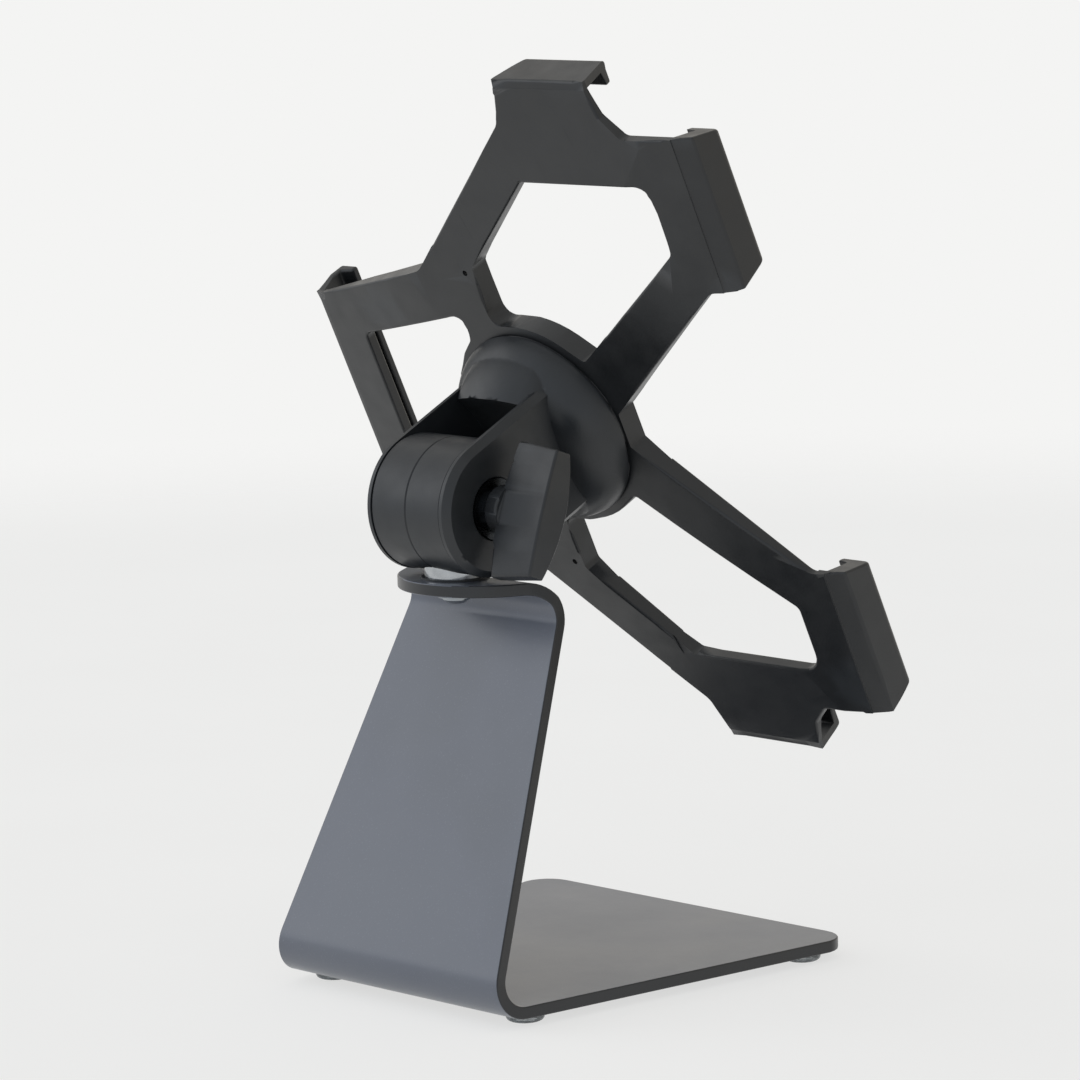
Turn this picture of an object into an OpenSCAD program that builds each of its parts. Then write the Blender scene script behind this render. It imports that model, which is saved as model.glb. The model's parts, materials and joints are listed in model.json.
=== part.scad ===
// Desktop tablet stand: a bent steel foot carries a swivelling knuckle, a clamped fork and a moulded
// cradle that grips the tablet on all four sides. Front is -Y, up is +Z and the desk is Z = 0. Left and
// right are as seen from the front, so the clamp knob is on the left, at -X.

/* [Base sheet] */
// Thickness of the bent steel sheet
sheet_t = 4; // [3:0.5:5]
// Width of the sheet at its front edge
base_front_w = 142.6; // [130:1:160]
// Depth from the front edge to the back of the lower bend
base_depth = 144.7; // [135:1:160]
// Half width lost for each millimetre along the flat blank
side_taper = 0.143; // [0.12:0.005:0.16]
// Radius of the two front corners
front_corner_r = 10; // [4:1:20]
// Inside radius of both bends
bend_inner_r = 7; // [5:0.5:9]
// Forward lean of the upright from vertical, in degrees
upright_lean = 24.4; // [18:0.2:28]
// Height of the top of the small flange that carries the post
flange_top_z = 134.2; // [120:1:150]
// Length of the flat part of the flange
flange_len = 19.6; // [18.6:0.1:24]
// Roundness of the flange's nose, as a share of the half width of its neck
nose_share = 0.87; // [0.8:0.01:0.9]

/* [Feet] */
// Height of the bumper feet
foot_h = 3; // [2:0.5:5]
// Diameter of the bumper feet
foot_d = 12.4; // [9:0.2:14]
// Distance of the front feet from the side edges
foot_front_side = 11; // [9:0.5:20]
// Distance of the front feet from the front edge
foot_front_in = 13.5; // [10:0.5:20]
// Distance of the rear feet from the side edges
foot_rear_side = 9.6; // [9:0.2:16]
// Distance of the rear feet from the back of the lower bend
foot_rear_in = 18.5; // [17:0.5:30]

/* [Swivel post] */
// Diameter of the bright collar
post_d = 20; // [16:0.5:22]
// Distance of the post axis behind the start of the flange
post_back = 4.6; // [4.4:0.1:8]
// Bright collar showing between the flange and the knuckle
post_show = 1.3; // [1:0.1:6]
// Diameter of the spigot that turns in the flange
spigot_d = 7.6; // [7:0.1:8]
// Thickness of the nylon washer on the flange
swivel_washer_t = 0.6; // [0.4:0.1:1.5]
// Thickness of the keyed washer under the flange
keyed_washer_t = 1.2; // [0.8:0.1:1.6]
// Thickness of the steel washer under the screw's head
post_washer_t = 1; // [0.8:0.1:1.5]
// Thread diameter of the screw under the flange
post_screw_d = 5; // [4:0.5:5]

/* [Knuckle] */
// Radius of the round knuckle
knuckle_r = 21.7; // [20:0.1:23]
// Width of the knuckle between the fork ears
knuckle_w = 30.8; // [28:0.2:34]
// Diameter of the clamp bolt, which is also the tilt axle
bolt_d = 8; // [6:0.5:9]
// Diameter of the friction discs
disc_d = 34; // [30:0.5:36]
// Thickness of the friction discs
disc_t = 0.8; // [0.6:0.1:1.5]
// Diameter of the screws that join the knuckle halves
knuckle_screw_d = 4; // [3:0.5:4.5]

/* [Fork] */
// Tilt of the tablet from vertical at rest, in degrees
tilt = 25.4; // [15:0.2:35]
// Thickness of one fork ear
ear_t = 3.5; // [3:0.1:4]
// Half height of an ear, and the radius of its round end
ear_r = 22; // [21:0.1:22.6]
// Bevel round the outer edge of an ear
ear_bevel = 2.2; // [0.4:0.1:2.6]
// Radius of the dome where it meets the cradle
dome_r = 33.8; // [32.6:0.1:34.4]
// Height of the dome's shoulders beside the ears
dome_h = 14.6; // [14:0.1:15.2]
// Radius of the bulge between the ears
bulge_r = 31.4; // [30.4:0.1:32]
// Rounding where the bulge runs down to the outside of the ears
bulge_round = 10; // [8:0.5:12]
// Distance from the tilt axis to the flat face of the dome
dome_reach = 47.7; // [46:0.1:52]
// Radius of the pocket swept round the tilt axis between the ears
pocket_r = 35; // [30:0.5:38]

/* [Knob] */
// Distance from an ear to the inner edge of the wings
wing_gap = 6.8; // [6:0.2:9]
// Length of the wings from tip to tip
wing_len = 44; // [38:0.5:44.4]
// Width of the wings along the bolt
wing_w = 16.8; // [12:0.2:20]
// Plastic over the brass insert at the middle of the wings
wing_cover = 0.6; // [0.5:0.1:2]
// Thickness of the wings at the tips
wing_tip_t = 5.6; // [4:0.1:7]
// Height of the crown on the outer end
wing_crown = 2; // [1:0.1:3]
// Turn of the wings from vertical at rest, in degrees
wing_turn = 20; // [0:1:90]
// How much shorter each end of the wings is at their outer face
wing_draft = 1.8; // [0:0.1:3]
// Radius of the two opposite corners that the thumb and finger push
wing_corner_r = 4.5; // [2:0.1:5]
// Diameter of the knob's hub
knob_hub_d = 16; // [15:0.5:18]

/* [Tablet space] */
// Width of the tablet that the cradle takes
tablet_w = 185.7; // [180:0.5:190]
// Height of the tablet that the cradle takes
tablet_h = 241.2; // [236:0.5:246]
// Thickness of the tablet that the cradle takes
tablet_t = 8.8; // [7:0.2:9.4]
// Play between the tablet and each wall of the cradle
tablet_play = 0.4; // [0.2:0.1:1]

/* [Cradle] */
// Height of the hub face over the front glass of the tablet
hub_face_w = 17.5; // [17:0.1:20]
// Radius of the solid hub ring
hub_ring_r = 36.9; // [35:0.1:39]
// Thickness of the walls and of the back
shell_t = 2.4; // [2:0.1:3]
// Radius of the crosswise curve of the back
crown_across_r = 680; // [640:10:900]
// Radius of the lengthwise curve of the back
crown_along_r = 1100; // [1000:10:1400]
// Thickness of the hook walls at the top and bottom
hook_t = 2.7; // [2:0.1:4]
// Overlap of the hook lips on the tablet front
lip_over = 5; // [3:0.5:7]
// Thickness of the hook lips
lip_t = 3.6; // [2.5:0.1:4.5]
// Width of the broad side hooks beyond the tablet edge
side_hook_w = 6.8; // [4:0.2:8]

/* [Hub pivot] */
// Diameter of the fork's spigot that the cradle turns on
pivot_d = 24; // [20:0.5:28]
// Thickness of the cradle's floor at the pivot
pivot_floor_t = 3; // [2.5:0.1:3.5]
// Thickness of the nylon ring under the retaining plate
pivot_ring_t = 1; // [0.6:0.1:1.2]
// Diameter of the retaining plate
keeper_d = 44; // [38:1:50]
// Thickness of the retaining plate
keeper_t = 2; // [1.5:0.1:2]
// Number of screws in the retaining plate
hub_screws_n = 3; // [3:1:6]

/* [Fits] */
// Radial clearance of a shaft that turns in its hole
turn_fit = 0.05; // [0.02:0.01:0.1]
// Clearance of a part that stays put in its seat
seat_fit = 0.1; // [0.05:0.05:0.3]
// Gap between parts that pass each other
run_gap = 0.3; // [0.2:0.05:0.5]

/* [Hidden] */
$fn = 96;

steel_paint = "#2b2d31";
moulded_black = "#1c1d1f";
nylon_black = "#141414";
bright_steel = "#c9ccd0";
zinc_steel = "#9da2a6";
brass_colour = "#b5933f";
rubber_clear = "#3a3d40";
over = 1;                 // how far a cutter runs past the face it cuts

// Sheet path: floor, lower bend, upright, upper bend, flange
bend_turn = 90 + upright_lean;
bend_mid_r = bend_inner_r + sheet_t / 2;
bend_outer_r = bend_inner_r + sheet_t;
bend_len = bend_mid_r * bend_turn * PI / 180;
head_overhang = 6.6;      // how much further the cradle reaches to the front than the sheet
mid_x = (side_hook_w - hook_t) / 2;
base_front_y = (head_overhang - base_depth) / 2;
base_rear_y = base_front_y + base_depth;
floor_len = base_depth - bend_outer_r;
upright_len = (flange_top_z - foot_h - sheet_t - 2 * bend_mid_r * (1 + sin(upright_lean)))
    / cos(upright_lean);
upright_s = floor_len + bend_len;
upper_bend_s = upright_s + upright_len;
flange_s = upper_bend_s + bend_len;
blank_len = flange_s + flange_len;
neck_s = upper_bend_s + bend_len / 2;
neck_half_w = base_front_w / 2 - side_taper * neck_s;
nose_r = neck_half_w * nose_share;
nose_mid_s = blank_len - nose_r;
neck_from_mid = norm([neck_s - nose_mid_s, neck_half_w]);
nose_angle = atan2(neck_half_w, neck_s - nose_mid_s) - acos(nose_r / neck_from_mid);
nose_start_s = nose_mid_s + nose_r * cos(nose_angle);
nose_start_w = nose_r * sin(nose_angle);
bend_steps = 14;
corner_steps = 6;
nose_steps = 16;

// Heights and places up the stack
foot_front_x = base_front_w / 2 - foot_front_side;
foot_front_y = base_front_y + foot_front_in;
foot_rear_y = base_rear_y - foot_rear_in;
foot_rear_x = blank_half(base_depth - foot_rear_in) - foot_rear_side;
flange_under_z = flange_top_z - sheet_t;
flange_start_y = path_point(flange_s)[0];
post_y = flange_start_y + post_back;
collar_z = flange_top_z + swivel_washer_t;
knuckle_low_z = collar_z + post_show;
pivot_z = knuckle_low_z + knuckle_r;
collar_in = 4;            // depth of the collar inside the knuckle
neck_d = post_d * 0.55;
neck_h = 4;
head_d = post_d * 0.8;
head_h = 5;
post_screw_len = 12;
post_screw_head_d = post_screw_d * 1.75;
post_screw_head_h = post_screw_d * 0.4;
swivel_washer_d = post_d + 2;
keyed_washer_r = 9;
post_washer_r = 6;
spigot_end_z = flange_under_z - keyed_washer_t;
post_screw_seat_z = spigot_end_z - post_washer_t;

// Across the knuckle, along X
half_w = knuckle_w / 2;
ear_out_x = half_w + ear_t;
disc_seat = disc_t * 0.75;
disc_in_x = half_w - disc_t;
knuckle_end_x = half_w - disc_t + disc_seat;
knuckle_screw_y = knuckle_r * 0.5;
knuckle_screw_z = knuckle_r * 0.42;
knuckle_head_d = knuckle_screw_d * 1.8;
knuckle_head_h = knuckle_screw_d * 0.7;
seam_bevel = 0.4;

// Knob stack on the -X side
washer_seat = 1.2;
washer_r = bolt_d * 1.22;
knob_washer_t = 1.6;
spring_washer_t = 2;
spring_washer_r = bolt_d * 0.86;
spring_gap = 1.6;
washer_out_x = ear_out_x - washer_seat + knob_washer_t;
knob_in_x = washer_out_x + spring_washer_t;
wing_in_x = ear_out_x + wing_gap;
wing_out_x = wing_in_x + wing_w;
insert_wall = 1;
insert_r = bolt_d / 2 + insert_wall;
wing_mid_t = 2 * (insert_r + wing_cover);
wing_tip_edge = 0.6;      // how far the corner's circle runs out over the tip and the side
insert_len = 10;
bolt_end_x = wing_in_x + wing_w * 0.55;
bolt_head_d = bolt_d * 2.4;
bolt_head_h = bolt_d * 0.5;
square_neck = bolt_d + 0.2;
neck_clear = 0.2;
dome_sunk = 1.9;          // depth of the shoulder's centre under the flat face

// Cradle heights, measured from the front glass towards the back
glass_reach = dome_reach + hub_face_w;
seat_w = tablet_t + 0.2;
pivot_floor_w = hub_face_w - pivot_floor_t;
pivot_end_w = pivot_floor_w - pivot_ring_t;
keeper_out_w = pivot_end_w - keeper_t;
keeper_room = 1;
hub_screw_d = 3.5;
hub_screw_len = 9;
hub_screw_head_d = hub_screw_d * 1.85;
hub_screw_head_h = hub_screw_d * 0.5;
hub_screw_ring_r = pivot_d * 0.33;

// Cradle plan, seen from the back: [across, up, corner radius]
wall_in_x = tablet_w / 2 + tablet_play;
wall_in_y = tablet_h / 2 + tablet_play;
arm_out = [wall_in_x - 5.2, 51.5, 5];
side_hook_low = 51.5;
side_hook_high = 105;
side_hook_draft = 4;
end_hook_in = 25;
end_hook_out = 64;
end_hook_draft = 3;
grip_half = 40;
grip_flare = 4;
arc_in_r = hub_ring_r - 0.3;
hook_round = 2.4;         // radius of the hooks' outer front edge
hub_boss_in = 0.6;        // how far the hub's flat boss stays inside the dome's edge
arc_steps = 6;
pilot = [-13, 55.3];
pilot_d = 2;

// Right to left over the upper half; the lower half is its mirror image
upper_edge = [
    [34, 6.3, 0],
    arm_out,
    [wall_in_x, side_hook_low, 0],
    [wall_in_x, side_hook_high, 0],
    [74, side_hook_high, 4],
    [67, 112, 4],
    [end_hook_out, wall_in_y, 0],
    [end_hook_in, wall_in_y, 0],
    [22, 108.5, 6],
    [-34.5, 54.9, 8],
    [-wall_in_x, grip_half, 2]
];
cradle_edge = concat(upper_edge, mirrored(upper_edge));

upper_window = concat(
    [[-9, arc_in_r * 0.97, 5]],
    hub_arc(92, 56),
    [[27.7, 25.2, 2], [78.6, 65.2, 3], [78.6, 89, 6], [24.7, 88.8, 3], [-9, 57.5, 3]]
);
grip_window_upper = [[-21.4, 30, 3], [-19.5, 40, 5], [-76, 26.5, 3]];
grip_window = concat(mirrored(grip_window_upper), hub_arc(220, 140), grip_window_upper);

function hub_arc(from, to) =
    [for (i = [0:arc_steps]) let (a = from + (to - from) * i / arc_steps)
        [arc_in_r * cos(a), arc_in_r * sin(a), 0]];

function mirrored(pts) = [for (i = [len(pts) - 1:-1:0]) [pts[i][0], -pts[i][1], pts[i][2]]];

function flat(p) = [p[0], p[1]];
function unit(v) = v / norm(v);
function left_of(v) = [-v[1], v[0]];
function cross2(a, b) = a[0] * b[1] - a[1] * b[0];

// Tangent arc that rounds corner b between its neighbours a and c
function corner_arc(a, b, c, r) =
    r == 0 ? [flat(b)] :
    let (
        u = unit(flat(a) - flat(b)),
        v = unit(flat(c) - flat(b)),
        half = acos(u * v) / 2,
        mid = flat(b) + unit(u + v) * r / sin(half),
        from = flat(b) + u * r / tan(half) - mid,
        to = flat(b) + v * r / tan(half) - mid,
        start = atan2(from[1], from[0]),
        turn = atan2(cross2(from, to), from * to)
    )
    [for (i = [0:corner_steps]) mid + r * [cos(start + turn * i / corner_steps),
        sin(start + turn * i / corner_steps)]];

function rounded(pts) = let (n = len(pts))
    [for (i = [0:n - 1]) each corner_arc(pts[(i + n - 1) % n], pts[i], pts[(i + 1) % n], pts[i][2])];

// Anticlockwise outline moved inwards by d, or outwards where d is negative
function inset(pts, d) = let (n = len(pts))
    [for (i = [0:n - 1]) let (
        e = unit(flat(pts[i]) - flat(pts[(i + n - 1) % n])),
        f = unit(flat(pts[(i + 1) % n]) - flat(pts[i])),
        shift = (left_of(e) + left_of(f)) * d / (1 + e * f),
        bend = cross2(e, f) >= 0 ? -d : d,
        r = pts[i][2] == 0 ? 0 : max(pts[i][2] + bend, 0.5)
    ) [pts[i][0] + shift[0], pts[i][1] + shift[1], r]];

// Middle of the sheet at s along the blank: [y, z, heading in degrees]
function path_point(s) =
    let (
        low_mid = [base_front_y + floor_len, foot_h + sheet_t / 2 + bend_mid_r],
        up_start = low_mid + bend_mid_r * [sin(bend_turn), -cos(bend_turn)],
        up_end = up_start + upright_len * [cos(bend_turn), sin(bend_turn)],
        high_mid = up_end + bend_mid_r * [sin(bend_turn), -cos(bend_turn)]
    )
    s <= floor_len ? [base_front_y + s, foot_h + sheet_t / 2, 0] :
    s <= upright_s ? let (a = (s - floor_len) / bend_mid_r * 180 / PI)
        [low_mid[0] + bend_mid_r * sin(a), low_mid[1] - bend_mid_r * cos(a), a] :
    s <= upper_bend_s ? let (p = up_start + (s - upright_s) * [cos(bend_turn), sin(bend_turn)])
        [p[0], p[1], bend_turn] :
    s <= flange_s ? let (a = bend_turn - (s - upper_bend_s) / bend_mid_r * 180 / PI)
        [high_mid[0] - bend_mid_r * sin(a), high_mid[1] + bend_mid_r * cos(a), a] :
    [high_mid[0] + s - flange_s, high_mid[1] + bend_mid_r, 0];

// Half width of the blank at s: round front corners, straight taper, narrower neck, round nose
function blank_half(s) =
    s < front_corner_r ? base_front_w / 2 - side_taper * front_corner_r - front_corner_r
        + sqrt(pow(front_corner_r, 2) - pow(front_corner_r - s, 2)) :
    s < neck_s ? base_front_w / 2 - side_taper * s :
    s < nose_start_s ? neck_half_w
        + (nose_start_w - neck_half_w) * (s - neck_s) / (nose_start_s - neck_s) :
    sqrt(max(pow(nose_r, 2) - pow(s - nose_mid_s, 2), 0.25));

function span(from, to, steps) = [for (i = [0:steps]) from + (to - from) * i / steps];

stations = concat(
    [for (i = [0:corner_steps]) front_corner_r * (1 - cos(90 * i / corner_steps))],
    span(floor_len, upright_s, bend_steps),
    span(upper_bend_s, flange_s, bend_steps),
    [for (i = [0:nose_steps]) nose_mid_s + nose_r * cos(nose_angle * (1 - i / nose_steps))]
);

// Carries a shape to the post's axis, at height z
module at_post(z)
    translate([mid_x, post_y, z])
        children();

// Carries a shape to the tilt axis, unturned
module at_tilt_axis()
    at_post(pivot_z)
        children();

// Head frame: origin on the tilt axis, Z along the hub axis towards the tablet
module on_head()
    at_tilt_axis()
        rotate([90 - tilt, 0, 0])
            children();

// Cradle frame: X and Y as seen from the back, Z is the height over the front glass
module on_cradle()
    on_head()
        translate([0, 0, glass_reach])
            rotate([0, 180, 0])
                children();

// A cylinder along +X from a to b
module x_rod(a, b, r)
    translate([a, 0, 0])
        rotate([0, 90, 0])
            cylinder(h = b - a, r = r);

module x_ring(a, b, r, hole_r)
    difference() {
        x_rod(a, b, r);
        x_rod(a - over, b + over, hole_r);
    }

module tube(h, r, hole_r)
    difference() {
        cylinder(h = h, r = r);
        translate([0, 0, -over])
            cylinder(h = h + 2 * over, r = hole_r);
    }

// One sheet of steel, swept along its bent path
module bent_sheet() {
    n = len(stations);
    points = [for (s = stations) let (p = path_point(s), w = blank_half(s),
        up = sheet_t / 2 * [-sin(p[2]), cos(p[2])])
        each [[-w, p[0] + up[0], p[1] + up[1]], [w, p[0] + up[0], p[1] + up[1]],
            [w, p[0] - up[0], p[1] - up[1]], [-w, p[0] - up[0], p[1] - up[1]]]];
    sides = [for (i = [0:n - 2], k = [0:3]) let (a = 4 * i + k, b = 4 * i + (k + 1) % 4)
        [a, a + 4, b + 4, b]];
    polyhedron(points, concat([[0, 1, 2, 3]], sides, [[4 * n - 1, 4 * n - 2, 4 * n - 3, 4 * n - 4]]),
        convexity = 6);
}

module base_plate()
    color(steel_paint)
        difference() {
            translate([mid_x, 0, 0])
                bent_sheet();
            at_post(flange_under_z - over)
                cylinder(h = sheet_t + 2 * over, r = spigot_d / 2 + turn_fit);
        }

// Moulded bumper with a rounded lower rim
module foot(x, y) {
    rim = foot_h * 0.5;
    color(rubber_clear)
        translate([mid_x + x, y, 0])
            rotate_extrude()
                polygon(concat(
                    [[0, foot_h], [0, 0]],
                    [for (a = [-90:15:0]) [foot_d / 2 - rim + rim * cos(a), rim + rim * sin(a)]],
                    [[foot_d / 2, foot_h]]
                ));
}

module foot_front_left()
    foot(-foot_front_x, foot_front_y);

module foot_front_right()
    foot(foot_front_x, foot_front_y);

module foot_rear_left()
    foot(-foot_rear_x, foot_rear_y);

module foot_rear_right()
    foot(foot_rear_x, foot_rear_y);

module swivel_washer_top()
    color(nylon_black)
        at_post(flange_top_z)
            tube(swivel_washer_t, swivel_washer_d / 2, spigot_d / 2 + turn_fit);

// One side is cut straight, so that the bend of the sheet keeps the washer from turning
module swivel_washer_bottom()
    color(nylon_black)
        intersection() {
            at_post(spigot_end_z)
                tube(keyed_washer_t, keyed_washer_r, spigot_d / 2 + turn_fit);
            translate([mid_x - keyed_washer_r, flange_start_y + seat_fit, spigot_end_z - over])
                cube([2 * keyed_washer_r, post_back + keyed_washer_r, keyed_washer_t + 2 * over]);
        }

// Outside of the post: spigot, collar, neck and the head held in the knuckle; grow widens its seat
module post_form(grow) {
    neck_z = knuckle_low_z + collar_in;
    head_z = neck_z + neck_h;
    at_post(0)
        rotate_extrude()
            polygon([
                [0, collar_z - (grow > 0 ? over : 0)],
                [post_d / 2 + grow, collar_z - (grow > 0 ? over : 0)],
                [post_d / 2 + grow, neck_z + grow],
                [neck_d / 2 + grow, neck_z + grow],
                [neck_d / 2 + grow, head_z - grow],
                [head_d / 2 + grow, head_z - grow],
                [head_d / 2 + grow, head_z + head_h + grow],
                [0, head_z + head_h + grow]
            ]);
}

module swivel_post()
    color(bright_steel)
        difference() {
            union() {
                post_form(0);
                at_post(spigot_end_z)
                    cylinder(h = collar_z - spigot_end_z, r = spigot_d / 2);
            }
            at_post(spigot_end_z - over)
                cylinder(h = post_screw_len + 2 + over, r = post_screw_d / 2 + seat_fit / 2);
        }

module post_washer()
    color(zinc_steel)
        at_post(post_screw_seat_z)
            tube(post_washer_t, post_washer_r, post_screw_d / 2 + seat_fit);

// Low button head with a hexagon socket
module post_screw()
    color(zinc_steel)
        at_post(post_screw_seat_z)
            difference() {
                union() {
                    cylinder(h = post_screw_len + post_washer_t, r = post_screw_d / 2);
                    rotate_extrude()
                        polygon([
                            [0, 0],
                            [post_screw_head_d / 2, 0],
                            [post_screw_head_d / 2, -post_screw_head_h * 0.4],
                            [post_screw_head_d * 0.3, -post_screw_head_h],
                            [0, -post_screw_head_h]
                        ]);
                }
                translate([0, 0, -post_screw_head_h - over])
                    cylinder(h = post_screw_head_h * 0.7 + over, r = post_screw_d * 0.33, $fn = 6);
            }

// The two screws that join the halves; the head sits in the -X half
module knuckle_screw_places()
    for (side = [-1, 1])
        translate([0, side * knuckle_screw_y, knuckle_screw_z])
            children();

module knuckle_half(side)
    at_tilt_axis()
        difference() {
            rotate([0, side * 90, 0])
                rotate_extrude()
                    polygon([
                        [0, 0],
                        [knuckle_r - seam_bevel, 0],
                        [knuckle_r, seam_bevel],
                        [knuckle_r, knuckle_end_x - seam_bevel],
                        [knuckle_r - seam_bevel, knuckle_end_x],
                        [0, knuckle_end_x]
                    ]);
            x_rod(-half_w - over, half_w + over, bolt_d / 2 + turn_fit);
            x_rod(disc_in_x, half_w + over, disc_d / 2 + seat_fit);
            x_rod(-half_w - over, -disc_in_x, disc_d / 2 + seat_fit);
            translate([-mid_x, -post_y, -pivot_z])
                post_form(seat_fit);
            knuckle_screw_places() {
                x_rod(-half_w - over, half_w * 0.7, knuckle_screw_d / 2 + seat_fit / 2);
                x_rod(-half_w - over, knuckle_head_h - disc_in_x, knuckle_head_d / 2 + seat_fit);
            }
        }

module knuckle_left()
    color(moulded_black)
        knuckle_half(-1);

module knuckle_right()
    color(moulded_black)
        knuckle_half(1);

module knuckle_screws()
    color(zinc_steel)
        at_tilt_axis()
            knuckle_screw_places() {
                x_rod(-disc_in_x, half_w * 0.6, knuckle_screw_d / 2);
                x_rod(-disc_in_x, knuckle_head_h - disc_in_x - seat_fit, knuckle_head_d / 2);
            }

module friction_disc_left()
    color(nylon_black)
        at_tilt_axis()
            x_ring(-half_w, -disc_in_x, disc_d / 2, bolt_d / 2 + seat_fit);

module friction_disc_right()
    color(nylon_black)
        at_tilt_axis()
            x_ring(disc_in_x, half_w, disc_d / 2, bolt_d / 2 + seat_fit);

// One ear: round end about the tilt axis and a straight run into the dome
module ear(side) {
    rotate([0, side * 90, 0])
        rotate_extrude()
            polygon([
                [0, half_w],
                [ear_r, half_w],
                [ear_r, ear_out_x - ear_bevel],
                [ear_r - ear_bevel, ear_out_x],
                [0, ear_out_x]
            ]);
    linear_extrude(dome_reach - 1)
        polygon([
            [side * half_w, -ear_r],
            [side * half_w, ear_r],
            [side * (ear_out_x - ear_bevel), ear_r],
            [side * ear_out_x, ear_r - ear_bevel],
            [side * ear_out_x, -ear_r + ear_bevel],
            [side * (ear_out_x - ear_bevel), -ear_r]
        ]);
}

// Round body that the cradle turns against, highest between the ears
module dome() {
    shoulder_r = dome_h + dome_sunk;
    shoulder_mid = dome_r - sqrt(pow(shoulder_r, 2) - pow(dome_sunk, 2));
    bulge_x = ear_out_x - seat_fit;
    round_x = bulge_x - bulge_round;
    round_mid = sqrt(pow(bulge_r - bulge_round, 2) - pow(round_x, 2));
    touch_x = round_x * bulge_r / (bulge_r - bulge_round);
    translate([0, 0, dome_reach])
        rotate([180, 0, 0])
            rotate_extrude()
                intersection() {
                    union() {
                        translate([shoulder_mid, -dome_sunk])
                            circle(r = shoulder_r);
                        square([shoulder_mid, dome_h]);
                    }
                    square([dome_r + over, dome_h + over]);
                }
    intersection() {
        translate([0, 0, dome_reach])
            rotate([0, 90, 0])
                rotate_extrude()
                    intersection() {
                        union() {
                            intersection() {
                                circle(r = bulge_r);
                                translate([0, -touch_x])
                                    square([bulge_r + over, 2 * touch_x]);
                            }
                            for (side = [-1, 1])
                                translate([round_mid, side * round_x])
                                    circle(r = bulge_round);
                            translate([0, -bulge_x])
                                square([round_mid, 2 * bulge_x]);
                        }
                        translate([0, -bulge_r])
                            square([bulge_r + over, 2 * bulge_r]);
                    }
        cylinder(h = dome_reach, r = dome_r + over);
    }
}

module hub_screw_places()
    for (i = [0:hub_screws_n - 1])
        rotate([0, 0, 90 + 360 * i / hub_screws_n])
            translate([hub_screw_ring_r, 0, 0])
                children();

module tilt_fork() {
    spigot_len = hub_face_w - pivot_end_w;
    color(moulded_black)
        on_head()
            difference() {
                union() {
                    dome();
                    ear(-1);
                    ear(1);
                    translate([0, 0, dome_reach - over])
                        cylinder(h = spigot_len + over, r = pivot_d / 2);
                }
                x_rod(-half_w, half_w, pocket_r);
                x_rod(-ear_out_x - over, 0, bolt_d / 2 + turn_fit);
                x_rod(-ear_out_x - over, washer_seat - ear_out_x, washer_r + seat_fit);
                translate([half_w - over, -square_neck / 2 - seat_fit, -square_neck / 2 - seat_fit])
                    cube([ear_t + 2 * over, square_neck + 2 * seat_fit, square_neck + 2 * seat_fit]);
                translate([0, 0, dome_reach + spigot_len - hub_screw_len])
                    hub_screw_places()
                        cylinder(h = hub_screw_len + over, r = hub_screw_d / 2 + seat_fit / 2);
            }
}

// Round-headed bolt whose square neck sits in the far ear
module clamp_bolt() {
    cap_r = (pow(bolt_head_d / 2, 2) + pow(bolt_head_h, 2)) / (2 * bolt_head_h);
    cap_angle = asin(bolt_head_d / 2 / cap_r);
    color(zinc_steel)
        on_head() {
            x_rod(-bolt_end_x, half_w + neck_clear, bolt_d / 2);
            translate([half_w + neck_clear, -square_neck / 2, -square_neck / 2])
                cube([ear_t, square_neck, square_neck]);
            translate([ear_out_x, 0, 0])
                rotate([0, 90, 0])
                    rotate_extrude()
                        polygon(concat([[0, 0]],
                            [for (i = [0:8]) let (a = cap_angle * (1 - i / 8))
                                [cap_r * sin(a), bolt_head_h - cap_r * (1 - cos(a))]]));
        }
}

module knob_washer()
    color(bright_steel)
        on_head()
            x_ring(-washer_out_x, washer_seat - ear_out_x, washer_r, bolt_d / 2 + seat_fit);

// Split washer with its gap turned towards the dome
module spring_washer()
    color(zinc_steel)
        on_head()
            difference() {
                x_ring(-knob_in_x, -washer_out_x, spring_washer_r, bolt_d / 2 + seat_fit);
                translate([-knob_in_x - over, -spring_gap / 2, 0])
                    cube([spring_washer_t + 2 * over, spring_gap, spring_washer_r + over]);
            }

// Plan of the wings across the bolt: two bowed sides, blunt tips, one corner of each well rounded
module wing_plan() {
    bow = (wing_mid_t - wing_tip_t) / 2;
    bow_r = (pow(wing_len / 2, 2) + pow(bow, 2)) / (2 * bow);
    corner_y = wing_len / 2 - wing_corner_r + wing_tip_edge;
    side_x = wing_mid_t / 2 - bow_r + sqrt(pow(bow_r, 2) - pow(corner_y, 2));
    corner_x = side_x - wing_corner_r + wing_tip_edge;
    difference() {
        intersection() {
            translate([bow_r - wing_mid_t / 2, 0])
                circle(r = bow_r, $fn = 360);
            translate([wing_mid_t / 2 - bow_r, 0])
                circle(r = bow_r, $fn = 360);
            square([wing_mid_t + over, wing_len], center = true);
        }
        for (end = [0, 180])
            rotate(end)
                translate([corner_x, corner_y])
                    difference() {
                        square(2 * wing_corner_r);
                        circle(r = wing_corner_r);
                    }
    }
}

// Side view of the wings, drawn in towards their outer face
module wing_side() {
    outer_x = wing_out_x + wing_crown;
    polygon([
        [-wing_in_x, -wing_len / 2],
        [-wing_in_x, wing_len / 2],
        [-outer_x, wing_len / 2 - wing_draft],
        [-outer_x, wing_draft - wing_len / 2]
    ]);
}

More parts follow.
